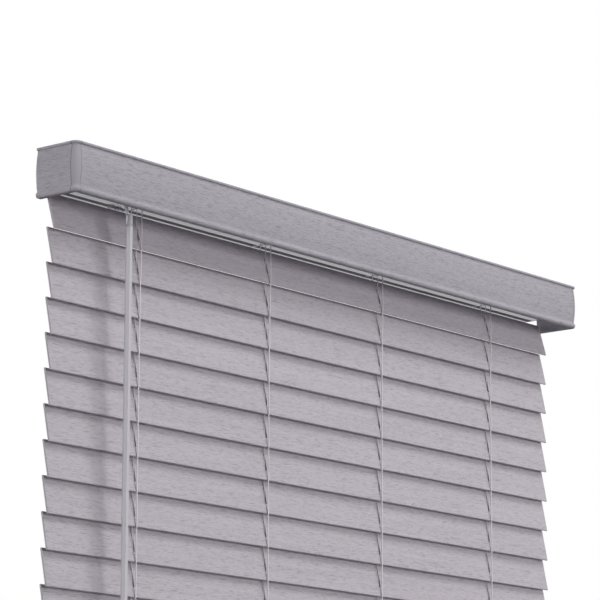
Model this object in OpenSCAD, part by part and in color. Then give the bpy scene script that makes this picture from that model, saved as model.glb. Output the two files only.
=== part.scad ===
// Window blind with wide slats, a profiled valance, a tilt wand and a cordless lift.
// X runs along the headrail, Y to the wall, Z up. The origin is the centre of the headrail's back.

/* [Blind] */
// Outer width over the valance corners
blind_w = 1130; // [700:1:1800]
// Distance between two slats along the ladder
slat_pitch = 46; // [42:0.5:48]
// Rest tilt of the lower slats, front edge down
slat_tilt = 78.5; // [60:0.5:80]
// Height of the first slat's axis below the headrail's axis
first_slat_drop = 53.5; // [50:0.5:70]

/* [Slat] */
// Width of a slat
slat_w = 51; // [46:0.5:54]
// Thickness of a slat
slat_t = 2.8; // [2.2:0.1:3.4]
// Distance from the valance's outer side to a slat end
slat_inset = 14.5; // [13:0.5:24]
// Length of a cord slot across the slat
slot_len = 24; // [22:0.5:30]
// Width of a cord slot along the slat
slot_w = 3.4; // [3:0.1:6]

/* [Headrail] */
// Depth of the channel from the wall to its front
headrail_depth = 58; // [54:0.5:64]
// Height of the channel
headrail_h = 42; // [40:0.5:50]
// Thickness of the channel's sheet
sheet_t = 1; // [0.6:0.1:1.4]
// Width of the rolled lips along the top edges
lip_w = 5; // [3:0.5:8]
// Distance from the valance's outer side to a headrail end
headrail_inset = 19; // [14:0.5:26]
// Thickness of an end cap outside the channel
cap_t = 1.5; // [1:0.1:2]
// Depth of an end cap's plug inside the channel
cap_plug = 8; // [5:0.5:12]

/* [Valance] */
// Height of the valance
valance_h = 66.5; // [55:0.5:80]
// Height of the valance's top above the headrail's axis
valance_top = 27.5; // [22:0.5:35]
// Thickness of the valance at its highest relief
valance_t = 9; // [7:0.1:10]
// Height of the relief over the grooves
relief = 2.2; // [1.5:0.1:3]
// Height of the top bead
top_bead = 4; // [3:0.5:8]
// Height of the bottom bead
low_bead = 7.5; // [6:0.5:12]
// Height of each groove
groove_h = 2; // [1:0.1:3]
// Space between headrail and valance
valance_gap = 20.2; // [18:0.1:26]
// Depth of the returns, from the valance's front
return_depth = 71; // [50:1:86]

/* [Wand] */
// Distance of the wand from the first ladder
wand_gap = 55.5; // [53:0.1:90]
// Wand width over two opposite corners
wand_d = 9.2; // [7:0.1:10]
// Length of the hexagonal wand
wand_len = 600; // [300:5:750]
// Length of the round tip
tip_len = 42; // [30:1:60]

/* [Ladders] */
// Diameter of a ladder string
string_d = 1.8; // [1.2:0.1:1.9]
// Diameter of a rung
rung_d = 0.9; // [0.6:0.1:1.2]
// Diameter of a lift cord
cord_d = 1.2; // [0.9:0.1:1.6]

/* [Bottom rail] */
// Thickness of the rail
rail_h = 16; // [13:0.5:19]
// Distance from the last slat's axis to the rail's axis
rail_drop = 52; // [51:0.5:70]
// Rounding of the rail's long edges
rail_round = 4; // [2:0.5:6]
// Diameter of a rail button
button_d = 14; // [10:0.5:16]

/* [Hidden] */
slat_n = 17;
quarter = 90;
half_turn = 180;
smooth = 48;
fine = 32;
coarse = 16;
arc_steps = 14;
overrun = 1;
gap = 0.3;
fit = 0.1;

// Tilt that the upper slats lack, because the strings spread towards the headrail
tilt_ease = [4.5, 1.7, 0.7];
// Ladder places as shares of the slat length
ladder_shares = [-0.3520, -0.1110, 0.1199, 0.3642];
// Clip places as shares of the slat length
clip_shares = [-0.302, -0.1, 0.1, 0.302];

slat_len = blind_w - 2 * slat_inset;
headrail_len = blind_w - 2 * headrail_inset;
ladder_xs = [for (s = ladder_shares) s * slat_len];
clip_xs = [for (s = clip_shares) s * slat_len];
axis_y = -headrail_depth / 2;
floor_z = -headrail_h / 2;
inner_floor_z = floor_z + sheet_t;
slat_1_z = -first_slat_drop;
valance_back_y = -headrail_depth - valance_gap;
valance_front_y = valance_back_y - valance_t;
valance_low = valance_top - valance_h;
field_h = valance_h - top_bead - low_bead - 2 * groove_h;
board_t = valance_t - relief;
// The corners turn about the edge where the backs of the boards meet
corner_d = valance_t;

edge_r = (slat_w - slat_t) / 2;
string_off = slat_t / 2 + string_d / 2 + gap;
rail_z = slat_1_z - (slat_n - 1) * slat_pitch - rail_drop;
rail_w = slat_w;
rail_len = slat_len;
rail_cap_t = 2.5;
rail_cap_plug = 6;

rod_z = 4;
rod_r = 3;
rod_flat = 1;
rod_over = 26;
drum_w = 10;
drum_r = edge_r * cos(slat_tilt - tilt_ease[0]) + string_off - string_d / 2 - gap;
drum_rim = 1.2;
drum_rim_r = drum_r + drum_rim;
drum_rim_w = 1.2;
journal_r = 5;
journal_over = 3;
cradle_t = 2.4;
cradle_in = 1;
cradle_d = 27;
cradle_rise = 7;
bridge_h = 4;
bridge_d = 3;
door_w = 5;
ladder_slot_w = 5;
ladder_slot_len = 2 * (edge_r + string_off + string_d / 2 + gap);
run_rise = 5;
run_z = inner_floor_z + run_rise;
run_step = 3;
door_h = run_rise + run_step + cord_d;
motor_len = 150;
motor_d = 44;
motor_h = 17;
motor_round = 5;
motor_rib = 2;
motor_ribs = 4;
motor_rib_h = 1.2;

wand_x = ladder_xs[0] - wand_gap;
wand_shift = 0.9;
wand_y = -headrail_depth - valance_gap / 2 + wand_shift;
ball_drop = 28;
ball_z = floor_z - ball_drop;
ball_r = 2.6;
neck_r = 1.4;
neck_len = 10;
stem_r = 2.4;
worm_r = 4.5;
worm_core_r = 3.4;
worm_len = 14;
worm_turns = 4;
worm_lead = worm_len / worm_turns;
wheel_r = 9.2;
wheel_w = 8;
wheel_teeth = 14;
tooth_share = 0.5;
tooth_h = 1.4;
mesh_gap = 0.3;
mesh_c = wheel_r + worm_r + mesh_gap;
reach_y = axis_y - wand_y;
reach_z = rod_z - ball_z;
reach = sqrt(reach_y * reach_y + reach_z * reach_z);
stem_lean = acos(mesh_c / reach) - atan2(reach_z, reach_y);
worm_at = sqrt(reach * reach - mesh_c * mesh_c);
case_t = 2;
case_in = 7.5;
case_d = 44;
case_h = 36;
case_base = 2;
case_foot_len = 43;
case_foot_d = 20;
case_foot_w = 7;
case_foot_drop = 2.6;
foot_hole_w = case_foot_w + 2 * fit;
foot_near = 25;
foot_far = 38;
foot_xs = [foot_near, foot_far];
foot_back = 18;
foot_y = axis_y + foot_back;
bearing_below = 15.5;
bearing_at = worm_at - bearing_below;
bearing_len = 8;
bearing_d = 10;
notch_w = 13;
notch_d = 12;
notch_h = 13;

sleeve_r = 4.4;
sleeve_top = 3.4;
sleeve_len = 14;
socket_r = ball_r + gap;
mouth_r = 3.9;
shoulder_h = 3;
wand_top_z = ball_z + sleeve_top - sleeve_len;
hook_d = 1.2;
hook_bend = 2.2;
hook_len = 10;
tip_over = 1.4;
tip_r = wand_d / 2 + tip_over;
tip_round = 2;

cavity_r = 4;
cavity_w = 8;
knot_r = 3.4;
rail_slot_w = 4;
rail_slot_len = 34;
button_head = 1.4;
button_r = button_d / 2;
button_stem_r = 4;
button_stem = 3;

clip_w = 18;
clip_t = 2.2;
clip_top = 17;
clip_leg = 24;
clip_heel = 18;

function two(i) = i < 10 ? str("0", i) : str(i);
function slat_z(i) = slat_1_z - (i - 1) * slat_pitch;
function tilt(i) = i > len(tilt_ease) ? slat_tilt : slat_tilt - tilt_ease[i - 1];
function edge_y(i) = edge_r * cos(tilt(i)) + string_off;
function edge_z(i) = edge_r * sin(tilt(i));
function arc_r(chord, sag) = (chord * chord / 4 + sag * sag) / (2 * sag);
// Points of one bulge of the valance's relief, before the groove plane at zero
function bulge(low, chord, sag) = [
    for (k = [0:arc_steps])
        let (radius = arc_r(chord, sag), span = 2 * atan2(chord / 2, radius - sag))
            let (angle = (k / arc_steps - 1 / 2) * span)
                [radius - sag - radius * cos(angle), low + chord / 2 + radius * sin(angle)]
];
// Direction of a path at its place k, and the place beside it
function way(path, k) =
    let (along = path[min(k + 1, len(path) - 1)] - path[max(k - 1, 0)])
        along / norm(along);
function beside(path, k, off) = path[k] + off * [-way(path, k)[1], way(path, k)[0]];
function rail_edge_y() = rail_w / 2 * cos(slat_tilt) + rail_h / 2 * sin(slat_tilt) + string_d / 2 + gap;
function rail_edge_z() = rail_w / 2 * sin(slat_tilt) - rail_h / 2 * cos(slat_tilt);

// Bends of the front strings, as distances before and above the axis of the slats
front_path = concat(
    [[-edge_y(1), slat_z(1) - edge_z(1) - gap]],
    [for (i = [2:len(tilt_ease) + 1]) [-edge_y(i), slat_z(i) - edge_z(i)]],
    [[-edge_y(slat_n), slat_z(slat_n) - edge_z(slat_n)]],
    [[-rail_edge_y(), rail_z - rail_edge_z()]]
);
// Bends of the back strings
back_path = concat(
    [[edge_y(1), slat_z(1) + edge_z(1) - gap]],
    [for (i = [2:len(tilt_ease) + 1]) [edge_y(i), slat_z(i) + edge_z(i)]],
    [[edge_y(slat_n), slat_z(slat_n) + edge_z(slat_n)]],
    [[rail_edge_y(), rail_z + rail_edge_z()]]
);

// A place given across and above the bottom rail's axis, as distances from the axis of the slats
function from_rail(p) = [
    p[0] * cos(slat_tilt) - p[1] * sin(slat_tilt),
    rail_z + p[0] * sin(slat_tilt) + p[1] * cos(slat_tilt)
];
// A lift cord drops along the axis, wraps over the rail's back edge and enters its slot
wrap_r = rail_round + cord_d / 2 + gap;
wrap_at = from_rail([rail_w / 2 - rail_round, rail_h / 2 - rail_round]);
wrap_from = acos(-wrap_at[0] / wrap_r);
wrap_to = quarter + slat_tilt;
wrap_steps = 5;
slot_entry = [rail_slot_len / 2 - cord_d, rail_h / 2 + cord_d / 2 + gap];
cord_drop = concat(
    [for (k = [0:wrap_steps])
        let (angle = wrap_from + (wrap_to - wrap_from) * k / wrap_steps)
            wrap_at + wrap_r * [cos(angle), sin(angle)]],
    [from_rail(slot_entry), from_rail(slot_entry / norm(slot_entry) * (knot_r + gap))]
);

grey_vinyl = [0.66, 0.64, 0.66];
smooth_vinyl = [0.70, 0.69, 0.71];
white_metal = [0.80, 0.80, 0.83];
white_plastic = [0.82, 0.82, 0.84];
grey_plastic = [0.52, 0.52, 0.54];
wand_plastic = [0.72, 0.71, 0.74];
steel = [0.62, 0.63, 0.65];
cord_grey = [0.68, 0.66, 0.68];

// Extrudes a section drawn in Y and Z along X, centred
module along_x(length) {
    rotate([quarter, 0, quarter])
        linear_extrude(height = length, center = true)
            children();
}

// A round bar along X, centred
module bar_x(radius, length, sides = smooth) {
    rotate([0, quarter, 0])
        cylinder(r = radius, h = length, center = true, $fn = sides);
}

// A round piece of string between two places in Y and Z
module string_piece(from, to, d) {
    dy = to[0] - from[0];
    dz = to[1] - from[1];
    translate([0, from[0], from[1]])
        rotate([atan2(-dy, dz), 0, 0])
            cylinder(d = d, h = sqrt(dy * dy + dz * dz), $fn = fine);
}

// A string of square section along a list of places in Y and Z
module string_along(path, d) {
    last = len(path) - 1;
    along_x(d)
        polygon(concat(
            [for (k = [0:last]) beside(path, k, -d / 2)],
            [for (k = [0:last]) beside(path, last - k, d / 2)]
        ));
}

// A box given by two opposite corners
module box(low, high) {
    translate(low)
        cube(high - low);
}

// A section with its long edges rounded
module round_section(width, height, radius) {
    across = width - 2 * radius;
    up = height - 2 * radius;
    square([width, up], center = true);
    square([across, height], center = true);
    for (sy = [-1, 1], sz = [-1, 1])
        translate([sy * across / 2, sz * up / 2])
            circle(r = radius, $fn = fine);
}

// Section of the valance, outside to the left, groove plane at zero
module valance_section() {
    polygon(concat(
        [[board_t, valance_low]],
        bulge(valance_low, low_bead, relief),
        bulge(valance_low + low_bead + groove_h, field_h, relief),
        bulge(valance_top - top_bead, top_bead, relief),
        [[board_t, valance_top]]
    ));
}

// Channel with lips, ladder slots, tilter notch and foot holes
module headrail() {
    color(white_metal)
        difference() {
            along_x(headrail_len)
                translate([-headrail_depth, floor_z])
                    difference() {
                        square([headrail_depth, headrail_h]);
                        translate([sheet_t, sheet_t])
                            square([headrail_depth - 2 * sheet_t, headrail_h - 2 * sheet_t]);
                        translate([lip_w, sheet_t])
                            square([headrail_depth - 2 * lip_w, headrail_h + overrun]);
                    }
            for (x = ladder_xs)
                translate([x, axis_y, inner_floor_z])
                    cube([ladder_slot_w, ladder_slot_len, 2 * (sheet_t + overrun)], center = true);
            box([wand_x - notch_w / 2, -headrail_depth - overrun, floor_z - overrun],
                [wand_x + notch_w / 2, -headrail_depth + notch_d, floor_z + notch_h]);
            for (x = foot_xs)
                translate([wand_x + x, foot_y, inner_floor_z])
                    cube([foot_hole_w, foot_hole_w, 2 * (sheet_t + overrun)], center = true);
        }
}

// A cap with a plug at each end of the channel
module headrail_end_caps() {
    plug_d = headrail_depth - 2 * sheet_t - 2 * fit;
    plug_h = headrail_h - 2 * sheet_t - 2 * fit;
    color(white_plastic)
        for (side = [0, 1])
            mirror([side, 0, 0])
                translate([headrail_len / 2, 0, 0]) {
                    box([0, -headrail_depth, floor_z], [cap_t, 0, -floor_z]);
                    translate([-cap_plug, axis_y - plug_d / 2, -plug_h / 2])
                        cube([cap_plug + cap_t / 2, plug_d, plug_h]);
                }
}

module valance_front() {
    color(grey_vinyl)
        along_x(blind_w - 2 * corner_d)
            translate([valance_front_y + relief, 0])
                valance_section();
}

module valance_returns() {
    length = return_depth - corner_d;
    color(grey_vinyl)
        for (side = [0, 1])
            mirror([side, 0, 0])
                translate([-blind_w / 2 + relief, valance_front_y + return_depth, 0])
                    rotate([quarter, 0, 0])
                        linear_extrude(height = length)
                            valance_section();
}

// Smooth corners: the boards' section, turned a quarter about the edge where their backs meet
module valance_corners() {
    color(smooth_vinyl)
        for (side = [0, 1])
            mirror([side, 0, 0])
                translate([-blind_w / 2 + corner_d, valance_front_y + corner_d, 0])
                    rotate([0, 0, half_turn])
                        rotate_extrude(angle = quarter, $fn = smooth)
                            translate([board_t, 0])
                                mirror([1, 0])
                                    valance_section();
}

// Clips from the channel's front wall to the valance's back
module valance_clips() {
    color(white_plastic)
        for (x = clip_xs)
            translate([x, 0, 0]) {
                box([-clip_w / 2, valance_back_y, clip_top - clip_t],
                    [clip_w / 2, -headrail_depth, clip_top]);
                box([-clip_w / 2, valance_back_y, clip_top - clip_leg],
                    [clip_w / 2, valance_back_y + clip_t, clip_top]);
                box([-clip_w / 2, -headrail_depth - clip_t, clip_top - clip_heel],
                    [clip_w / 2, -headrail_depth, clip_top]);
            }
}

// Moves into the slanted frame of the worm, with the ball at the origin
module at_stem() {
    translate([wand_x, wand_y, ball_z])
        rotate([-stem_lean, 0, 0])
            children();
}

// Two side plates with the rod's bearings, a base with two feet and a bearing for the stem
module tilter_case() {
    color(grey_plastic)
        difference() {
            union() {
                for (side = [0, 1])
                    translate([wand_x, 0, 0])
                        mirror([side, 0, 0])
                            box([case_in, axis_y - case_d / 2, inner_floor_z],
                                [case_in + case_t, axis_y + case_d / 2, inner_floor_z + case_h]);
                box([wand_x - case_in - case_t, axis_y + case_d / 2 - case_foot_d, inner_floor_z],
                    [wand_x + case_foot_len, axis_y + case_d / 2, inner_floor_z + case_base]);
                for (x = foot_xs)
                    box([wand_x + x - case_foot_w / 2, foot_y - case_foot_w / 2, floor_z - case_foot_drop],
                        [wand_x + x + case_foot_w / 2, foot_y + case_foot_w / 2, inner_floor_z + case_base]);
                at_stem()
                    translate([0, 0, bearing_at])
                        cube([2 * case_in + case_t, bearing_d, bearing_len], center = true);
            }
            translate([wand_x, axis_y, rod_z])
                bar_x(rod_r + gap, 2 * (case_in + case_t + overrun));
            at_stem()
                cylinder(r = stem_r + gap, h = worm_at, $fn = smooth);
        }
}

// Two plates and two bridges at each ladder
module ladder_cradles() {
    plate_x = drum_w / 2 + drum_rim_w + cradle_in;
    bridge_z = rod_z + cradle_rise - bridge_h;
    color(white_plastic)
        for (x = ladder_xs)
            translate([x, axis_y, 0])
                difference() {
                    union() {
                        for (side = [0, 1])
                            mirror([side, 0, 0])
                                box([plate_x, -cradle_d / 2, inner_floor_z],
                                    [plate_x + cradle_t, cradle_d / 2, rod_z + cradle_rise]);
                        for (side = [0, 1])
                            mirror([0, side, 0])
                                box([-plate_x - cradle_t, (cradle_d - bridge_d) / 2, bridge_z],
                                    [plate_x + cradle_t, (cradle_d + bridge_d) / 2, bridge_z + bridge_h]);
                    }
                    translate([0, 0, rod_z])
                        bar_x(journal_r + gap, 2 * (plate_x + cradle_t + overrun));
                    box([-plate_x - cradle_t - overrun, -door_w / 2, inner_floor_z - overrun],
                        [plate_x + cradle_t + overrun, door_w / 2, inner_floor_z + door_h]);
                }
}

// Closed case of the spring motor on the channel's floor
module lift_motor() {
    color(grey_plastic)
        translate([0, axis_y, inner_floor_z]) {
            linear_extrude(height = motor_h)
                round_section(motor_len, motor_d, motor_round);
            for (k = [1:motor_ribs])
                translate([(k - (motor_ribs + 1) / 2) * motor_len / (motor_ribs + 1), 0, motor_h])
                    cube([motor_rib, motor_d - 2 * motor_round, 2 * motor_rib_h], center = true);
        }
}

// A run along the floor and a drop through the slats to the bottom rail at each ladder
module lift_cords() {
    color(cord_grey)
        for (k = [0:len(ladder_xs) - 1]) {
            x = ladder_xs[k];
            end_x = sign(x) * (motor_len / 2 + gap);
            high = run_z + (abs(x) > slat_len / 4 ? run_step : 0) + cord_d / 2;
            translate([x, axis_y, 0])
                string_along(concat([[0, high]], cord_drop), cord_d);
            translate([(x + end_x) / 2, axis_y, high - cord_d / 2])
                cube([abs(x - end_x), cord_d, cord_d], center = true);
        }
}

// Round shaft with a flat
module tilt_rod() {
    low = wand_x - rod_over;
    high = ladder_xs[len(ladder_xs) - 1] + rod_over;
    color(steel)
        difference() {
            translate([(low + high) / 2, axis_y, rod_z])
                bar_x(rod_r, high - low);
            box([low - overrun, axis_y - rod_r - overrun, rod_z + rod_r - rod_flat],
                [high + overrun, axis_y + rod_r + overrun, rod_z + rod_r + overrun]);
        }
}

module worm_wheel() {
    tooth_w = 2 * half_turn / wheel_teeth * tooth_share;
    color(white_plastic)
        translate([wand_x, axis_y, rod_z])
            along_x(wheel_w)
                difference() {
                    union() {
                        circle(r = wheel_r - tooth_h, $fn = smooth);
                        for (k = [1:wheel_teeth])
                            rotate(k * 2 * half_turn / wheel_teeth)
                                polygon([
                                    [0, 0],
                                    [wheel_r * cos(tooth_w), -wheel_r * sin(tooth_w) * tooth_share],
                                    [wheel_r, -wheel_r * sin(tooth_w) * tooth_share * tooth_share],
                                    [wheel_r, wheel_r * sin(tooth_w) * tooth_share * tooth_share],
                                    [wheel_r * cos(tooth_w), wheel_r * sin(tooth_w) * tooth_share]
                                ]);
                    }
                    circle(r = rod_r + fit, $fn = smooth);
                }
}

// Spools with rims and journals at the ladders
module ladder_drums() {
    full_w = drum_w + 2 * drum_rim_w;
    color(white_plastic)
        for (x = ladder_xs)
            translate([x, axis_y, rod_z])
                difference() {
                    union() {
                        bar_x(drum_r, drum_w + drum_rim_w);
                        for (side = [-1, 1])
                            translate([side * (drum_w + drum_rim_w) / 2, 0, 0])
                                bar_x(drum_rim_r, drum_rim_w);
                        bar_x(journal_r, full_w + 2 * (cradle_in + cradle_t + journal_over));
                    }
                    bar_x(rod_r + fit, full_w + 2 * (cradle_in + cradle_t + journal_over + overrun));
                }
}

// Ball, neck, stem and thread
module worm_stem() {
    color(white_plastic)
        at_stem() {
            sphere(r = ball_r, $fn = smooth);
            cylinder(r = neck_r, h = neck_len + overrun, $fn = smooth);
            translate([0, 0, neck_len])
                cylinder(r = stem_r, h = worm_at - neck_len, $fn = smooth);
            translate([0, 0, worm_at - worm_len / 2]) {
                cylinder(r = worm_core_r, h = worm_len, $fn = smooth);
                for (k = [1:worm_turns])
                    translate([0, 0, (k - tooth_share) * worm_lead])
                        cylinder(r = worm_r, h = worm_lead * tooth_share, center = true, $fn = smooth);
            }
        }
}

// Cup around the ball at the wand's top
module wand_sleeve() {
    color(grey_plastic)
        translate([wand_x, wand_y, ball_z])
            difference() {
                translate([0, 0, sleeve_top - sleeve_len])
                    cylinder(r = sleeve_r, h = sleeve_len, $fn = smooth);
                sphere(r = socket_r, $fn = smooth);
                cylinder(r1 = neck_r, r2 = mouth_r, h = sleeve_top, $fn = smooth);
                translate([0, 0, sleeve_top])
                    cylinder(r = mouth_r, h = overrun, $fn = smooth);
            }
}

// Bent wire beside the sleeve
module wand_hook() {
    wire_x = -sleeve_r - hook_d / 2;
    top_z = ball_z + sleeve_top - hook_bend;
    color(steel)
        translate([wand_x, wand_y, 0]) {
            translate([wire_x, 0, top_z - hook_len])
                cylinder(d = hook_d, h = hook_len, $fn = fine);
            translate([wire_x, 0, top_z])
                sphere(d = hook_d, $fn = fine);
            translate([wire_x, 0, top_z])
                rotate([-half_turn / 4, 0, 0])
                    cylinder(d = hook_d, h = hook_bend * 2, $fn = fine);
        }
}

// Hexagonal wand with a round tip
module wand() {
    color(wand_plastic)
        translate([wand_x, wand_y, wand_top_z]) {
            translate([0, 0, -shoulder_h])
                cylinder(r1 = wand_d / 2, r2 = sleeve_r - hook_d / 2, h = shoulder_h, $fn = 6);
            translate([0, 0, -shoulder_h - wand_len])
                cylinder(d = wand_d, h = wand_len, $fn = 6);
            translate([0, 0, -shoulder_h - wand_len - tip_len + tip_round]) {
                cylinder(r = tip_r, h = tip_len - tip_round, $fn = smooth);
                translate([0, 0, -tip_round])
                    cylinder(r1 = tip_r - tip_round, r2 = tip_r, h = tip_round, $fn = smooth);
            }
        }
}

// String ends beside the drums, down to the first slat
module ladder_front_tops() {
    color(cord_grey)
        for (x = ladder_xs)
            translate([x, axis_y, 0])
                string_piece([-edge_y(1), slat_z(1) - edge_z(1)], [-edge_y(1), rod_z], string_d);
}

module ladder_back_tops() {
    color(cord_grey)
        for (x = ladder_xs)
            translate([x, axis_y, 0])
                string_piece([edge_y(1), slat_z(1) + edge_z(1)], [edge_y(1), rod_z], string_d);
}

module ladder_front_strings() {
    color(cord_grey)
        for (x = ladder_xs)
            translate([x, axis_y, 0])
                string_along(front_path, string_d);
}

module ladder_back_strings() {
    color(cord_grey)
        for (x = ladder_xs)
            translate([x, axis_y, 0])
                string_along(back_path, string_d);
}

// A punched slot with round ends, across a slat
module cord_slot() {
    linear_extrude(height = slat_t + 2 * overrun, center = true) {
        square([slot_w, slot_len - slot_w], center = true);
        for (side = [-1, 1])
            translate([0, side * (slot_len - slot_w) / 2])
                circle(d = slot_w, $fn = coarse);
    }
}

// Flat slat with rounded long edges and a cord slot at each ladder
module slat(i) {
    color(grey_vinyl)
        translate([0, axis_y, slat_z(i)])
            rotate([tilt(i), 0, 0])
                difference() {
                    along_x(slat_len) {
                        square([2 * edge_r, slat_t], center = true);
                        for (side = [-1, 1])
                            translate([side * edge_r, 0])
                                circle(d = slat_t, $fn = fine);
                    }
                    for (x = ladder_xs)
                        translate([x, 0, 0])
                            cord_slot();
                }
}

// The rung of each ladder under one slat, beside the lift cord
module rungs(i) {
    side_x = (cord_d + rung_d) / 2 + gap;
    under = slat_t / 2 + rung_d / 2 + gap;
    color(cord_grey)
        translate([0, axis_y, slat_z(i)])
            rotate([tilt(i), 0, 0])
                for (x = ladder_xs)
                    translate([x + side_x, 0, -under])
                        rotate([quarter, 0, 0])
                            cylinder(d = rung_d, h = slat_w + string_d, center = true, $fn = fine);
}

// Moves into the tilted frame of the bottom rail
module at_rail() {
    translate([0, axis_y, rail_z])
        rotate([slat_tilt, 0, 0])
            children();
}

module bottom_rail() {
    color(grey_vinyl)
        at_rail()
            difference() {
                along_x(rail_len - 2 * rail_cap_t)
                    round_section(rail_w, rail_h, rail_round);
                for (x = ladder_xs) {
                    translate([x, 0, 0])
                        bar_x(cavity_r, cavity_w);
                    translate([x - rail_slot_w / 2, -rail_slot_len / 2, 0])
                        cube([rail_slot_w, rail_slot_len, rail_h / 2 + overrun]);
                    translate([x, 0, -rail_h / 2 - overrun])
                        cylinder(r = button_stem_r, h = button_stem + overrun, $fn = smooth);
                }
                for (side = [0, 1])
                    mirror([side, 0, 0])
                        translate([rail_len / 2 - rail_cap_t - rail_cap_plug, 0, 0])
                            bar_x(rail_h / 4 + fit, 2 * rail_cap_plug);
            }
}

module rail_end_caps() {
    color(grey_vinyl)
        at_rail()
            for (side = [0, 1])
                mirror([side, 0, 0]) {
                    translate([(rail_len - rail_cap_t) / 2, 0, 0])
                        along_x(rail_cap_t)
                            round_section(rail_w, rail_h, rail_round);
                    translate([rail_len / 2 - rail_cap_t - rail_cap_plug / 2, 0, 0])
                        bar_x(rail_h / 4, rail_cap_plug);
                }
}

module rail_buttons() {
    color(smooth_vinyl)
        at_rail()
            for (x = ladder_xs)
                translate([x, 0, -rail_h / 2]) {
                    translate([0, 0, -button_head])
                        cylinder(r1 = button_r - button_head, r2 = button_r, h = button_head, $fn = smooth);
                    cylinder(r = button_stem_r - fit, h = button_stem - fit, $fn = smooth);
                }
}

module cord_knots() {
    color(cord_grey)
        for (x = ladder_xs)
            translate([x, axis_y, rail_z])
                sphere(r = knot_r, $fn = fine);
}

headrail();
headrail_end_caps();
valance_front();
valance_returns();
valance_corners();
valance_clips();
tilter_case();
ladder_cradles();
lift_motor();
lift_cords();
tilt_rod();
worm_wheel();
ladder_drums();
worm_stem();
wand_sleeve();
wand_hook();
wand();
ladder_front_tops();
ladder_back_tops();
ladder_front_strings();
ladder_back_strings();
bottom_rail();
rail_end_caps();
rail_buttons();
cord_knots();
for (i = [1:slat_n])
    slat(i);
for (i = [1:slat_n])
    rungs(i);
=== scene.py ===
"""Looks of a window blind with wide embossed slats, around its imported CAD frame.

The CAD nodes keep their shapes and get procedural finishes. The strings, rungs and lift cords are
rebuilt as twisted cords along the same routes, and ride on the bodies that carry them.
"""

import logging
import math
from dataclasses import dataclass, field
from enum import Enum

import bpy
from mathutils import Matrix, Vector


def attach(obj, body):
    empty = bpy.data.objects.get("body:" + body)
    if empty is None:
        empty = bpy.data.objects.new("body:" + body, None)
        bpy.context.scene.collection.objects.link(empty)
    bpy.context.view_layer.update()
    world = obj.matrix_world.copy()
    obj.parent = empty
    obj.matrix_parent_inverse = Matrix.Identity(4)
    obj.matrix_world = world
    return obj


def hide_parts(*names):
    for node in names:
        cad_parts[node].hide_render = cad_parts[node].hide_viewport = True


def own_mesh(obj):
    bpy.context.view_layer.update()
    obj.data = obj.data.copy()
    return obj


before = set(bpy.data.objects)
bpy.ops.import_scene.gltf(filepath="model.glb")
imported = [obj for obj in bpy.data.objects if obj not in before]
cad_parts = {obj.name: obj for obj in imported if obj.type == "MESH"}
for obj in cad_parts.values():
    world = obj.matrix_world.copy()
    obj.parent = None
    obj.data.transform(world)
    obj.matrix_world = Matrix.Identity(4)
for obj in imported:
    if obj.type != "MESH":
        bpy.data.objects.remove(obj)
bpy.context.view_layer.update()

Vec3 = tuple[float, float, float]
Vec2 = tuple[float, float]

log = logging.getLogger("blind")


class Texture(Enum):
    """How a finish breaks up its colour and surface."""

    GRAIN_X = "embossed wood grain along X"
    GRAIN_Y = "embossed wood grain along Y"
    SATIN = "fine satin moulding"
    PEEL = "orange peel of sprayed paint"
    DRAWN = "drawn metal along X"
    FIBRE = "spun fibre"


@dataclass(frozen=True)
class PaintedShadeLine:
    """A narrow line of painted shade: the shade in a step of folded sheet or in the joint between boards.

    Attributes:
        axis: Name of the axis across the line.
        low: Start of the line's span, as a distance from the frame's origin.
        high: End of the span.
        edge: Softness of both sides.
        dark: Share of the colour that is left in the line.
    """

    axis: str
    low: float
    high: float
    edge: float
    dark: float


@dataclass(frozen=True)
class Layer:
    """One layer of the grain.

    Attributes:
        along: Marks per metre along the grain.
        across: Marks per metre across it.
        octaves: Octaves of its noise.
        low: Noise below which nothing shows.
        high: Noise above which all of it shows.
        rough: Strength of each further octave.
    """

    along: float
    across: float
    octaves: float
    low: float
    high: float
    rough: float = 0.5


@dataclass(frozen=True)
class Grain:
    """The embossed grain of the slats and boards: layers, shares and depth."""

    dash: Layer = Layer(70.0, 1000.0, 2.0, 0.53, 0.68, 0.6)
    pore: Layer = Layer(150.0, 1900.0, 1.0, 0.54, 0.70)
    streak: Layer = Layer(5.0, 210.0, 3.0, 0.30, 0.70)
    cloud: Layer = Layer(2.0, 12.0, 1.0, 0.25, 0.75)
    pore_share: float = 0.6
    mark_share: float = 0.60
    cloud_share: float = 0.5
    tone_share: float = 0.14
    ridge_share: float = 0.25
    strength: float = 0.55
    depth: float = 0.00035


@dataclass(frozen=True)
class Skin:
    """A fine even surface.

    Attributes:
        stretch: Features per metre along X, Y and Z.
        spread: Share of the marks' colour in the fine features.
        depth: Depth of the features.
        broad: Larger spots per metre.
        broad_share: Share of the marks' colour in the spots.
        strength: Share of the bump.
    """

    stretch: Vec3
    spread: float = 0.35
    depth: float = 0.00004
    broad: float = 14.0
    broad_share: float = 0.2
    strength: float = 0.35


SKINS: dict[Texture, Skin] = {
    Texture.SATIN: Skin((900.0, 900.0, 900.0)),
    Texture.PEEL: Skin((420.0, 420.0, 420.0)),
    Texture.DRAWN: Skin((25.0, 2600.0, 2600.0)),
    Texture.FIBRE: Skin((2600.0, 2600.0, 900.0), 0.8, 0.00012),
}


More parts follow.
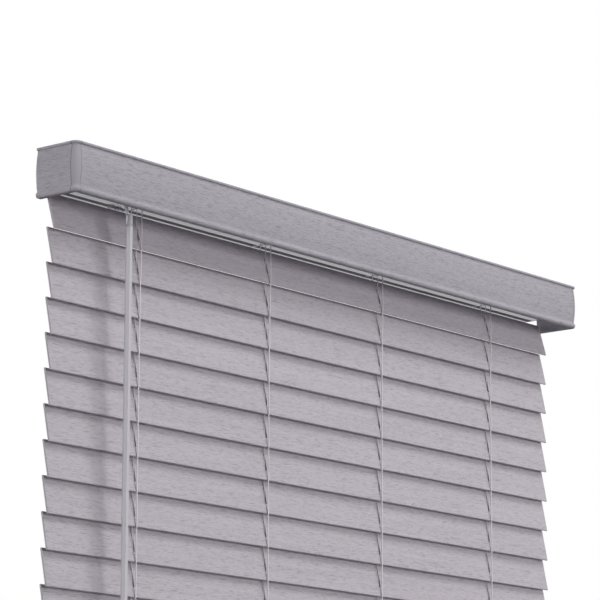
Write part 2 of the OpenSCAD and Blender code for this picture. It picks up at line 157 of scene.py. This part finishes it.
class NodeGraph:
    """Adds and joins the shader nodes of one material."""

    def __init__(self, material: bpy.types.Material) -> None:
        """Takes over a material's node tree.

        Args:
            material: The material whose Principled shader is dressed.
        """
        material.use_nodes = True
        self.tree = material.node_tree
        self.shader = self.tree.nodes["Principled BSDF"]

    def add(self, kind: str) -> bpy.types.Node:
        """Adds one node by its Blender type name."""
        return self.tree.nodes.new(kind)

    def link(self, source: bpy.types.NodeSocket, target: bpy.types.NodeSocket) -> None:
        """Joins two sockets."""
        self.tree.links.new(source, target)

    def noise(self, stretch: Vec3, detail: float, rough: float = 0.5) -> bpy.types.NodeSocket:
        """Makes a noise in the object's own coordinates.

        Args:
            stretch: Features per metre along X, Y and Z.
            detail: Octaves of the noise.
            rough: Strength of each further octave.

        Returns:
            The noise value, around one half.
        """
        coords = self.add("ShaderNodeTexCoord")
        mapping = self.add("ShaderNodeMapping")
        mapping.inputs["Scale"].default_value = stretch
        self.link(coords.outputs["Object"], mapping.inputs["Vector"])
        node = self.add("ShaderNodeTexNoise")
        node.inputs["Scale"].default_value = 1.0
        node.inputs["Detail"].default_value = detail
        node.inputs["Roughness"].default_value = rough
        self.link(mapping.outputs["Vector"], node.inputs["Vector"])
        return node.outputs["Fac"]

    def between(self, value: bpy.types.NodeSocket, low: float, high: float,
                to_low: float = 0.0, to_high: float = 1.0) -> bpy.types.NodeSocket:
        """Maps a value from one span to another and clamps it.

        Args:
            value: The value to map.
            low: Start of its span.
            high: End of its span.
            to_low: Result at the start.
            to_high: Result at the end.

        Returns:
            The mapped value.
        """
        node = self.add("ShaderNodeMapRange")
        for name, number in (("From Min", low), ("From Max", high),
                             ("To Min", to_low), ("To Max", to_high)):
            node.inputs[name].default_value = number
        self.link(value, node.inputs["Value"])
        return node.outputs["Result"]

    def math(self, operation: str, a: bpy.types.NodeSocket,
             b: bpy.types.NodeSocket | float) -> bpy.types.NodeSocket:
        """Combines a value with another value or a number.

        Args:
            operation: Blender's name of the operation.
            a: First value.
            b: Second value, or a number.

        Returns:
            The combined value.
        """
        node = self.add("ShaderNodeMath")
        node.operation = operation
        self.link(a, node.inputs[0])
        if isinstance(b, float):
            node.inputs[1].default_value = b
        else:
            self.link(b, node.inputs[1])
        return node.outputs["Value"]

    def tint(self, share: bpy.types.NodeSocket, plain: Vec3 | bpy.types.NodeSocket, marked: Vec3) -> None:
        """Sets the base colour between two colours.

        Args:
            share: How much of the marked colour shows.
            plain: Colour at zero, or the socket that gives it.
            marked: Colour at one.
        """
        node = self.add("ShaderNodeMix")
        node.data_type = "RGBA"
        first, second = (socket for socket in node.inputs if socket.type == "RGBA")
        if isinstance(plain, tuple):
            first.default_value = (*plain, 1.0)
        else:
            self.link(plain, first)
        second.default_value = (*marked, 1.0)
        self.link(share, node.inputs["Factor"])
        result = next(socket for socket in node.outputs if socket.type == "RGBA")
        self.link(result, self.shader.inputs["Base Color"])

    def painted_shade_line(self, line: PaintedShadeLine, colour: Vec3, gloss: float) -> None:
        """Paints shade into a narrow line: darkens it and takes its gloss away.

        Args:
            line: Place, width and depth of the line.
            colour: Colour beside the line.
            gloss: Specular level beside the line.
        """
        coords = self.add("ShaderNodeTexCoord")
        split = self.add("ShaderNodeSeparateXYZ")
        self.link(coords.outputs["Object"], split.inputs["Vector"])
        place = self.math("ABSOLUTE", split.outputs[line.axis], 0.0)
        rise = self.between(place, line.low - line.edge, line.low)
        fall = self.between(place, line.high, line.high + line.edge, 1.0, 0.0)
        inside = self.math("MULTIPLY", rise, fall)
        # Painted shade: inside the line only the share line.dark of the colour beside it is left.
        beside = self.shader.inputs["Base Color"].links[0].from_socket
        self.tint(inside, beside, tuple(channel * line.dark for channel in colour))
        self.link(self.between(inside, 0.0, 1.0, gloss, 0.0), self.shader.inputs["Specular IOR Level"])

    def bump(self, height: bpy.types.NodeSocket, strength: float, depth: float) -> None:
        """Presses a height into the surface.

        Args:
            height: Height between zero and one.
            strength: Share of the effect.
            depth: Depth of a full step, in metres.
        """
        node = self.add("ShaderNodeBump")
        node.inputs["Strength"].default_value = strength
        node.inputs["Distance"].default_value = depth
        self.link(height, node.inputs["Height"])
        self.link(node.outputs["Normal"], self.shader.inputs["Normal"])

    def roughness(self, value: bpy.types.NodeSocket, low: float, high: float) -> None:
        """Spreads the roughness over a span by a value."""
        self.link(self.between(value, 0.3, 0.7, low, high), self.shader.inputs["Roughness"])


@dataclass(frozen=True)
class Finish:
    """One finish.

    Attributes:
        name: Name of its material.
        colour: Plain colour.
        marks: Colour of its marks.
        rough: Mean roughness.
        texture: How its surface is broken up.
        metallic: One for bare metal.
        rough_span: Spread of the roughness to both sides.
        gloss: Specular level.
        painted_shade_line: A line of painted shade in it, if it has one.
    """

    name: str
    colour: Vec3
    marks: Vec3
    rough: float
    texture: Texture
    metallic: float = 0.0
    rough_span: float = 0.06
    gloss: float = 0.5
    painted_shade_line: PaintedShadeLine | None = None

    def material(self) -> bpy.types.Material:
        """Builds the finish's material.

        Returns:
            A new material with procedural colour, roughness and bump.
        """
        made = bpy.data.materials.new(self.name)
        graph = NodeGraph(made)
        graph.shader.inputs["Metallic"].default_value = self.metallic
        graph.shader.inputs["Specular IOR Level"].default_value = self.gloss
        if self.texture in SKINS:
            self._even(graph, SKINS[self.texture])
        else:
            self._grain(graph, Grain())
        if self.painted_shade_line:
            graph.painted_shade_line(self.painted_shade_line, self.colour, self.gloss)
        made.diffuse_color = (*self.colour, 1.0)
        return made

    def _layer(self, graph: NodeGraph, layer: Layer) -> bpy.types.NodeSocket:
        """Makes one layer of marks along the grain.

        Args:
            graph: Nodes of the finish's material.
            layer: Sizes of the marks.

        Returns:
            How much of the layer shows.
        """
        stretch = (layer.along, layer.across, layer.across)
        if self.texture is Texture.GRAIN_Y:
            stretch = (layer.across, layer.along, layer.across)
        return graph.between(graph.noise(stretch, layer.octaves, layer.rough), layer.low, layer.high)

    def _grain(self, graph: NodeGraph, grain: Grain) -> None:
        """Dresses a shader as embossed grain: short dark dashes over long pale streaks.

        Args:
            graph: Nodes of the finish's material.
            grain: Layers and shares of the grain.
        """
        dash, pore, streak, cloud = (self._layer(graph, layer)
                                     for layer in (grain.dash, grain.pore, grain.streak, grain.cloud))
        marks = graph.math("MAXIMUM", dash, graph.math("MULTIPLY", pore, grain.pore_share))
        marks = graph.math("MULTIPLY", marks, grain.mark_share)
        tones = graph.math("ADD", streak, graph.math("MULTIPLY", cloud, grain.cloud_share))
        share = graph.math("ADD", marks, graph.math("MULTIPLY", tones, grain.tone_share))
        graph.tint(share, self.colour, self.marks)
        graph.roughness(streak, self.rough - self.rough_span, self.rough + self.rough_span)
        ridges = graph.math("MULTIPLY", streak, grain.ridge_share)
        graph.bump(graph.math("SUBTRACT", ridges, marks), grain.strength, grain.depth)

    def _even(self, graph: NodeGraph, skin: Skin) -> None:
        """Dresses a shader whose surface is fine and even.

        Args:
            graph: Nodes of the finish's material.
            skin: Sizes and shares of the surface.
        """
        fine = graph.noise(skin.stretch, 2.0)
        spots = graph.between(graph.noise((skin.broad,) * 3, 2.0), 0.3, 0.7)
        share = graph.math("ADD", graph.math("MULTIPLY", graph.between(fine, 0.35, 0.65), skin.spread),
                           graph.math("MULTIPLY", spots, skin.broad_share))
        graph.tint(share, self.colour, self.marks)
        graph.roughness(fine, self.rough - self.rough_span, self.rough + self.rough_span)
        graph.bump(fine, skin.strength, skin.depth)


@dataclass(frozen=True)
class Palette:
    """Every finish of the blind."""

    vinyl: Finish = Finish("vinyl_grain", (0.510, 0.476, 0.520), (0.255, 0.232, 0.257), 0.60, Texture.GRAIN_X,
                           gloss=0.05)
    # The board finishes carry thin lines of painted shade where the boards meet the corner posts.
    board: Finish = Finish("board_grain", (0.435, 0.415, 0.461), (0.218, 0.203, 0.229), 0.60, Texture.GRAIN_X,
                           gloss=0.02, painted_shade_line=PaintedShadeLine("X", 0.5546, 0.5600, 0.0006, 0.68))
    board_side: Finish = Finish("board_grain_y", (0.435, 0.415, 0.461), (0.218, 0.203, 0.229), 0.60,
                                Texture.GRAIN_Y, gloss=0.02, painted_shade_line=PaintedShadeLine("Y", 0.0768, 0.0800, 0.0006, 0.62))
    smooth: Finish = Finish("vinyl_smooth", (0.390, 0.374, 0.412), (0.370, 0.355, 0.391), 0.55, Texture.SATIN,
                            gloss=0.02)
    # The headrail paint carries a band of painted shade 6 to 16 mm to each side of the channel's middle,
    # standing in for the shade of a step in its floor that its shape lacks.
    paint: Finish = Finish("headrail_paint", (0.82, 0.79, 0.88), (0.76, 0.73, 0.82), 0.20, Texture.PEEL,
                           painted_shade_line=PaintedShadeLine("Y", 0.0062, 0.0155, 0.002, 0.4))
    white: Finish = Finish("white_plastic", (0.72, 0.72, 0.75), (0.66, 0.66, 0.69), 0.42, Texture.SATIN)
    grey: Finish = Finish("grey_plastic", (0.40, 0.39, 0.41), (0.35, 0.34, 0.36), 0.45, Texture.SATIN)
    wand: Finish = Finish("wand_plastic", (0.490, 0.474, 0.506), (0.455, 0.440, 0.470), 0.18, Texture.SATIN,
                          gloss=0.9)
    steel: Finish = Finish("steel", (0.56, 0.57, 0.59), (0.48, 0.49, 0.51), 0.32, Texture.DRAWN, 1.0)
    cord: Finish = Finish("cord", (0.82, 0.79, 0.82), (0.62, 0.60, 0.62), 0.85, Texture.FIBRE)

    def materials(self) -> dict[str, bpy.types.Material]:
        """Builds all the finishes.

        Returns:
            The materials by the name of their finish.
        """
        finishes = (self.vinyl, self.board, self.board_side, self.smooth, self.paint, self.white,
                    self.grey, self.wand, self.steel, self.cord)
        return {f.name: f.material() for f in finishes}


def dress(names: list[str], material: bpy.types.Material) -> None:
    """Gives CAD nodes a material and logs each.

    Args:
        names: Names of the nodes.
        material: Their new material.
    """
    for name in names:
        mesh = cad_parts[name].data
        mesh.materials.clear()
        mesh.materials.append(material)
        log.info("%s: %s", name, material.name)


@dataclass
class TwistedCord:
    """A cord of twisted strands, drawn along one or more routes."""

    name: str
    radius: float
    body: str
    strands: int = 3
    sides: int = 9
    lay: float = 0.009
    rings_per_lay: int = 6
    groove: float = 0.16
    points: list[Vector] = field(default_factory=list)
    faces: list[tuple[int, ...]] = field(default_factory=list)

    def run(self, route: list[Vector]) -> None:
        """Adds one run of the cord.

        Args:
            route: Bends of the run, in metres in the part's frame.
        """
        step = self.lay / self.rings_per_lay
        places, ways, travelled = self._sample(route, step)
        side = ways[0].orthogonal().normalized()
        first = len(self.points)
        for place, way, along in zip(places, ways, travelled):
            side = (side - way * side.dot(way)).normalized()
            other = way.cross(side)
            twist = 2.0 * math.pi * along / self.lay
            for k in range(self.sides):
                angle = 2.0 * math.pi * k / self.sides
                lobe = math.cos(self.strands * (angle - twist))
                reach = self.radius * (1.0 - self.groove * (1.0 - lobe) / 2.0)
                self.points.append(place + (side * math.cos(angle) + other * math.sin(angle)) * reach)
        for ring in range(len(places) - 1):
            low = first + ring * self.sides
            for k in range(self.sides):
                nxt = (k + 1) % self.sides
                self.faces.append((low + k, low + nxt, low + self.sides + nxt, low + self.sides + k))
        self.faces.append(tuple(first + k for k in reversed(range(self.sides))))
        last = first + (len(places) - 1) * self.sides
        self.faces.append(tuple(last + k for k in range(self.sides)))

    @staticmethod
    def _sample(route: list[Vector], step: float) -> tuple[list[Vector], list[Vector], list[float]]:
        """Divides a route into short even steps.

        Args:
            route: Bends of the route.
            step: Longest step.

        Returns:
            The places, the directions there and the lengths travelled.
        """
        places: list[Vector] = [route[0]]
        travelled: list[float] = [0.0]
        for start, end in zip(route, route[1:]):
            length = (end - start).length
            count = max(1, math.ceil(length / step))
            base = travelled[-1]
            for k in range(1, count + 1):
                places.append(start.lerp(end, k / count))
                travelled.append(base + length * k / count)
        ways = []
        for k in range(len(places)):
            ahead = places[min(k + 1, len(places) - 1)]
            behind = places[max(k - 1, 0)]
            ways.append((ahead - behind).normalized())
        return places, ways, travelled

    def make(self, material: bpy.types.Material, nodes: list[str]) -> bpy.types.Object:
        """Makes the mesh, lets it ride on its body and stand for its CAD nodes.

        Args:
            material: Finish of the cord.
            nodes: CAD nodes that it stands for.

        Returns:
            The new object.
        """
        mesh = bpy.data.meshes.new(self.name)
        mesh.from_pydata([tuple(p) for p in self.points], [], self.faces)
        mesh.polygons.foreach_set("use_smooth", [True] * len(mesh.polygons))
        mesh.materials.append(material)
        made = bpy.data.objects.new(self.name, mesh)
        bpy.context.scene.collection.objects.link(made)
        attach(made, self.body)
        if nodes:
            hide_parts(*nodes)
        log.info("%s: %d faces, rides on %s", self.name, len(self.faces), self.body)
        return made


@dataclass(frozen=True)
class Ladders:
    """Strings, rungs and lift cords of the four ladders, with the sizes of the part's source."""

    xs: tuple[float, ...] = (-0.387552, -0.122211, 0.132010, 0.400984)
    axis_y: float = -0.0290
    first_z: float = -0.0535
    pitch: float = 0.046
    slats: int = 17
    tilts: tuple[float, ...] = (74.0, 76.8, 77.8)
    tilt: float = 78.5
    edge_r: float = 0.0241
    slat_t: float = 0.0028
    string_r: float = 0.0009
    rung_r: float = 0.00045
    cord_r: float = 0.0006
    gap: float = 0.0003
    rod_z: float = 0.004
    rail_z: float = -0.8415
    rail_w: float = 0.051
    rail_h: float = 0.016
    rail_round: float = 0.004
    rail_slot: float = 0.034
    knot_r: float = 0.0034
    floor_z: float = -0.021
    run_z: float = -0.015
    run_step: float = 0.003
    motor_end: float = 0.0753
    lift_travel: float = 0.400
    closed_pitch: float = 0.021
    tail_top: float = 0.0200
    straight_keep: float = 0.05
    outer_x: float = 0.274
    rung_sides: int = 7
    rung_lay: float = 0.006
    cord_lay: float = 0.007
    loop_steps: int = 8
    wrap_steps: int = 5
    far: float = 10.0

    @property
    def string_off(self) -> float:
        """Distance of a string's centre from the middle of a slat's edge."""
        return self.slat_t / 2.0 + self.string_r + self.gap

    def slat_tilt(self, i: int) -> float:
        """Rest tilt of slat i, in radians."""
        return math.radians(self.tilts[i - 1] if i <= len(self.tilts) else self.tilt)

    def slat_z(self, i: int) -> float:
        """Height of slat i's axis."""
        return self.first_z - (i - 1) * self.pitch

    def edge(self, i: int, side: int) -> Vec2:
        """Place of a string at slat i, as distances from the slats' axis.

        Args:
            i: Number of the slat, from the top.
            side: -1 for the front string, 1 for the back one.

        Returns:
            The place in Y and the height in Z.
        """
        turn = self.slat_tilt(i)
        return (side * (self.edge_r * math.cos(turn) + self.string_off),
                self.slat_z(i) + side * self.edge_r * math.sin(turn))

    def from_rail(self, across: float, above: float) -> Vec2:
        """Turns a place in the bottom rail's frame into distances from the slats' axis.

        Args:
            across: Distance across the rail's width from its axis.
            above: Distance above its axis.

        Returns:
            The place in Y and the height in Z.
        """
        turn = math.radians(self.tilt)
        return (across * math.cos(turn) - above * math.sin(turn),
                self.rail_z + across * math.sin(turn) + above * math.cos(turn))

    def route(self, x: float, bends: list[Vec2]) -> list[Vector]:
        """Puts bends in Y and Z at one ladder."""
        return [Vector((x, self.axis_y + y, z)) for y, z in bends]

    def strings(self, side: int, material: bpy.types.Material) -> None:
        """Makes the tops, the long strings and the string ends at the rail on one side.

        Args:
            side: -1 for the front, 1 for the back.
            material: Finish of the strings.
        """
        word = "front" if side < 0 else "back"
        y1, z1 = self.edge(1, side)
        top = self.rod_z if side < 0 else self.tail_top
        tops = TwistedCord(f"cord_{word}_tops", self.string_r, f"{word}_tops")
        long = TwistedCord(f"cord_{word}_strings", self.string_r, f"{word}_strings")
        ends = TwistedCord(f"cord_{word}_ends", self.string_r, f"{word}_strings")
        turn = math.radians(self.tilt)
        rail_y = (self.rail_w / 2.0 * math.cos(turn) + self.rail_h / 2.0 * math.sin(turn)
                  + self.string_r + self.gap)
        rail_edge = self.rail_w / 2.0 * math.sin(turn) - self.rail_h / 2.0 * math.cos(turn)
        for x in self.xs:
            tops.run(self.route(x, [(y1, top), (y1, z1)]))
            bends = [(y1, z1 - self.gap)] + [self.edge(i, side) for i in range(2, self.slats + 1)]
            long.run(self.route(x, bends))
            last = self.edge(self.slats, side)
            ends.run(self.route(x, [last, (side * rail_y, self.rail_z + side * rail_edge)]))
        upper = tops.make(material, [f"ladder_{word}_tops"])
        if side < 0:
            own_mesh(upper)
        middle = long.make(material, [f"ladder_{word}_strings"])
        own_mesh(middle)
        lower = ends.make(material, [])
        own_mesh(lower)

    def rungs(self, i: int, material: bpy.types.Material) -> None:
        """Makes the rungs under slat i, each looped round the front edge to its string.

        Args:
            i: Number of the slat, from the top.
            material: Finish of the rungs.
        """
        piece = TwistedCord(f"cord_rungs_{i:02d}", self.rung_r, f"slat_{i:02d}",
                            sides=self.rung_sides, lay=self.rung_lay)
        turn = self.slat_tilt(i)
        under = self.slat_t / 2.0 + self.rung_r + self.gap
        start, finish = math.pi - turn, 1.5 * math.pi
        angles = [start + (finish - start) * k / self.loop_steps for k in range(self.loop_steps + 1)]
        loop = [(-self.edge_r + under * math.cos(a), under * math.sin(a)) for a in angles]
        bends = loop + [(self.edge_r, -under), (self.edge_r + self.string_r, -under)]
        aside = self.cord_r + self.rung_r + self.gap
        for x in self.xs:
            turned = [(y * math.cos(turn) - z * math.sin(turn),
                       self.slat_z(i) + y * math.sin(turn) + z * math.cos(turn)) for y, z in bends]
            piece.run(self.route(x + aside, turned))
        piece.make(material, [f"rungs_{i:02d}"])

    def lift_cords(self, material: bpy.types.Material) -> None:
        """Makes the lift cords: runs in the headrail, drops through the slats and ends at the rail.

        Args:
            material: Finish of the cords.
        """
        runs = TwistedCord("cord_lift_runs", self.cord_r, "headrail", lay=self.cord_lay)
        drops = TwistedCord("cord_lift_drops", self.cord_r, "headrail", lay=self.cord_lay)
        ends = TwistedCord("cord_lift_ends", self.cord_r, "knots", lay=self.cord_lay)
        wrap_r = self.rail_round + self.cord_r + self.gap
        at_y, at_z = self.from_rail(self.rail_w / 2.0 - self.rail_round, self.rail_h / 2.0 - self.rail_round)
        begin = math.acos(-at_y / wrap_r)
        finish = math.pi / 2.0 + math.radians(self.tilt)
        angles = [begin + (finish - begin) * k / self.wrap_steps for k in range(self.wrap_steps + 1)]
        wrap = [(at_y + wrap_r * math.cos(a), at_z + wrap_r * math.sin(a)) for a in angles]
        entry = (self.rail_slot / 2.0 - 2.0 * self.cord_r, self.rail_h / 2.0 + self.cord_r + self.gap)
        inward = (self.knot_r + self.gap) / math.hypot(*entry)
        wrap += [self.from_rail(*entry), self.from_rail(entry[0] * inward, entry[1] * inward)]
        for x in self.xs:
            height = self.run_z + (self.run_step if abs(x) > self.outer_x else 0.0)
            runs.run([Vector((math.copysign(self.motor_end, x), self.axis_y, height)),
                      Vector((x, self.axis_y, height)), Vector((x, self.axis_y, self.floor_z))])
            drops.run(self.route(x, [(0.0, self.floor_z), wrap[0]]))
            ends.run(self.route(x, wrap))
        runs.make(material, ["lift_cords"])
        drop = drops.make(material, [])
        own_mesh(drop)
        hooked = ends.make(material, [])
        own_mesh(hooked)

    def build(self, material: bpy.types.Material) -> None:
        """Makes every cord of the ladders.

        Args:
            material: Finish of the cords.
        """
        self.strings(-1, material)
        self.strings(1, material)
        for i in range(1, self.slats + 1):
            self.rungs(i, material)
        self.lift_cords(material)


@dataclass(frozen=True)
class Boards:
    """Slats, valance and bottom rail: the pieces with the embossed grain."""

    slats: int = 17

    def build(self, materials: dict[str, bpy.types.Material]) -> None:
        """Dresses the slats, the valance and the bottom rail.

        Args:
            materials: The finishes by name.
        """
        dress([f"slat_{i:02d}" for i in range(1, self.slats + 1)], materials["vinyl_grain"])
        dress(["bottom_rail", "rail_end_caps"], materials["vinyl_grain"])
        dress(["valance_front"], materials["board_grain"])
        dress(["valance_returns"], materials["board_grain_y"])
        dress(["valance_corners", "rail_buttons"], materials["vinyl_smooth"])


@dataclass(frozen=True)
class Headrail:
    """Channel, caps, clips and the mechanism inside."""

    def build(self, materials: dict[str, bpy.types.Material]) -> None:
        """Dresses the headrail, its mechanism and the wand.

        Args:
            materials: The finishes by name.
        """
        dress(["headrail"], materials["headrail_paint"])
        dress(["headrail_end_caps", "valance_clips", "ladder_cradles", "worm_wheel", "ladder_drums",
               "worm_stem"], materials["white_plastic"])
        dress(["tilter_case", "lift_motor", "wand_sleeve"], materials["grey_plastic"])
        dress(["tilt_rod", "wand_hook"], materials["steel"])
        dress(["wand"], materials["wand_plastic"])
        dress(["cord_knots"], materials["cord"])


@dataclass(frozen=True)
class Camera:
    """The photograph's camera."""

    place: Vec3 = (-3.15813, -2.58799, -0.94552)
    yaw: float = -50.5731
    pitch: float = 10.6075
    roll: float = 0.2121
    lens: float = 175.1344
    shift_y: float = 0.12
    sensor: float = 36.0
    reach: float = 100.0

    def build(self) -> None:
        """Makes the camera and lets the scene use it."""
        yaw, pitch, roll = (math.radians(a) for a in (self.yaw, self.pitch, self.roll))
        right = Vector((math.cos(yaw), math.sin(yaw), 0.0))
        level = Vector((-math.sin(yaw), math.cos(yaw), 0.0))
        ahead = level * math.cos(pitch) + Vector((0.0, 0.0, math.sin(pitch)))
        above = Vector((0.0, 0.0, math.cos(pitch))) - level * math.sin(pitch)
        x_axis = right * math.cos(roll) + above * math.sin(roll)
        y_axis = above * math.cos(roll) - right * math.sin(roll)
        data = bpy.data.cameras.new("camera")
        data.sensor_width = self.sensor
        data.lens = self.lens
        data.shift_y = self.shift_y
        data.clip_end = self.reach
        made = bpy.data.objects.new("camera", data)
        made.matrix_world = Matrix((x_axis, y_axis, -ahead)).transposed().to_4x4()
        made.matrix_world.translation = Vector(self.place)
        bpy.context.scene.collection.objects.link(made)
        bpy.context.scene.camera = made


@dataclass(frozen=True)
class Softbox:
    """One rectangular light, placed by its direction from the blind."""

    name: str
    azimuth: float
    elevation: float
    distance: float
    size: Vec2
    power: float

    def build(self, aim: Vec3) -> None:
        """Makes the light and turns it to the blind.

        Args:
            aim: The place that it faces.
        """
        azimuth, elevation = math.radians(self.azimuth), math.radians(self.elevation)
        out = Vector((math.sin(azimuth) * math.cos(elevation), -math.cos(azimuth) * math.cos(elevation),
                      math.sin(elevation)))
        data = bpy.data.lights.new(self.name, "AREA")
        data.shape = "RECTANGLE"
        data.size, data.size_y = self.size
        data.energy = self.power
        made = bpy.data.objects.new(self.name, data)
        made.matrix_world = out.to_track_quat("Z", "Y").to_matrix().to_4x4()
        made.matrix_world.translation = Vector(aim) + out * self.distance
        bpy.context.scene.collection.objects.link(made)
        log.info("%s light: %g W", self.name, self.power)


@dataclass(frozen=True)
class Studio:
    """Floor, white surroundings and lights."""

    floor_z: float = -1.25
    floor_half: float = 30.0
    floor_colour: Vec3 = (0.86, 0.86, 0.86)
    floor_bounce: Vec3 = (0.10, 0.10, 0.10)
    floor_rough: float = 0.9
    floor_glow: float = 0.82
    ambient: float = 0.12
    aim: Vec3 = (0.0, -0.04, -0.30)
    lights: tuple[Softbox, ...] = (
        Softbox("key", 17.0, 51.0, 9.0, (6.6, 5.6), 500.0),
        Softbox("front", 17.0, 4.0, 8.0, (5.8, 2.6), 335.0),
        Softbox("fill", -98.0, 6.0, 4.5, (2.5, 2.5), 101.0),
        Softbox("back", 168.0, 32.0, 7.0, (4.0, 3.0), 210.0),
    )

    def build(self) -> None:
        """Makes the floor, the world and the lights."""
        self._floor()
        self._world()
        for light in self.lights:
            light.build(self.aim)

    def _seen(self, tree: bpy.types.NodeTree) -> bpy.types.NodeSocket:
        """Tells rays that show the surroundings from rays that only gather light.

        Args:
            tree: The nodes of the floor or of the world.

        Returns:
            One for camera, glossy and transmission rays, else zero.
        """
        path = tree.nodes.new("ShaderNodeLightPath")
        shown = path.outputs["Is Camera Ray"]
        for kind in ("Is Glossy Ray", "Is Transmission Ray"):
            either = tree.nodes.new("ShaderNodeMath")
            either.operation = "MAXIMUM"
            tree.links.new(shown, either.inputs[0])
            tree.links.new(path.outputs[kind], either.inputs[1])
            shown = either.outputs["Value"]
        return shown

    def _floor(self) -> None:
        """Makes the plain pale floor, which gives less light than it shows."""
        h, z = self.floor_half, self.floor_z
        mesh = bpy.data.meshes.new("floor")
        mesh.from_pydata([(-h, -h, z), (h, -h, z), (h, h, z), (-h, h, z)], [], [(0, 1, 2, 3)])
        material = bpy.data.materials.new("floor")
        graph = NodeGraph(material)
        seen = self._seen(graph.tree)
        graph.tint(seen, self.floor_bounce, self.floor_colour)
        graph.shader.inputs["Roughness"].default_value = self.floor_rough
        glow = graph.add("ShaderNodeEmission")
        mix = graph.add("ShaderNodeMixShader")
        graph.link(graph.between(seen, 0.0, 1.0, 0.0, self.floor_glow), mix.inputs["Fac"])
        graph.link(graph.shader.outputs["BSDF"], mix.inputs[1])
        graph.link(glow.outputs["Emission"], mix.inputs[2])
        graph.link(mix.outputs["Shader"], graph.tree.nodes["Material Output"].inputs["Surface"])
        mesh.materials.append(material)
        made = bpy.data.objects.new("floor", mesh)
        made.visible_glossy = False
        bpy.context.scene.collection.objects.link(made)

    def _world(self) -> None:
        """Makes surroundings that look white, also in reflections, and give a softer light."""
        world = bpy.data.worlds.new("surroundings")
        world.use_nodes = True
        tree = world.node_tree
        seen = tree.nodes["Background"]
        seen.inputs["Color"].default_value = (1.0, 1.0, 1.0, 1.0)
        seen.inputs["Strength"].default_value = 1.0
        given = tree.nodes.new("ShaderNodeBackground")
        given.inputs["Color"].default_value = (1.0, 1.0, 1.0, 1.0)
        given.inputs["Strength"].default_value = self.ambient
        mix = tree.nodes.new("ShaderNodeMixShader")
        tree.links.new(self._seen(tree), mix.inputs["Fac"])
        tree.links.new(given.outputs["Background"], mix.inputs[1])
        tree.links.new(seen.outputs["Background"], mix.inputs[2])
        tree.links.new(mix.outputs["Shader"], tree.nodes["World Output"].inputs["Surface"])
        bpy.context.scene.world = world


def main() -> None:
    """Builds the camera, the cords, the finishes and the studio."""
    logging.basicConfig(level=logging.INFO, format="%(name)s: %(message)s")
    bpy.context.scene.view_settings.view_transform = "Standard"
    Camera().build()
    materials = Palette().materials()
    Ladders().build(materials["cord"])
    Boards().build(materials)
    Headrail().build(materials)
    Studio().build()


if __name__ == "__main__":
    main()
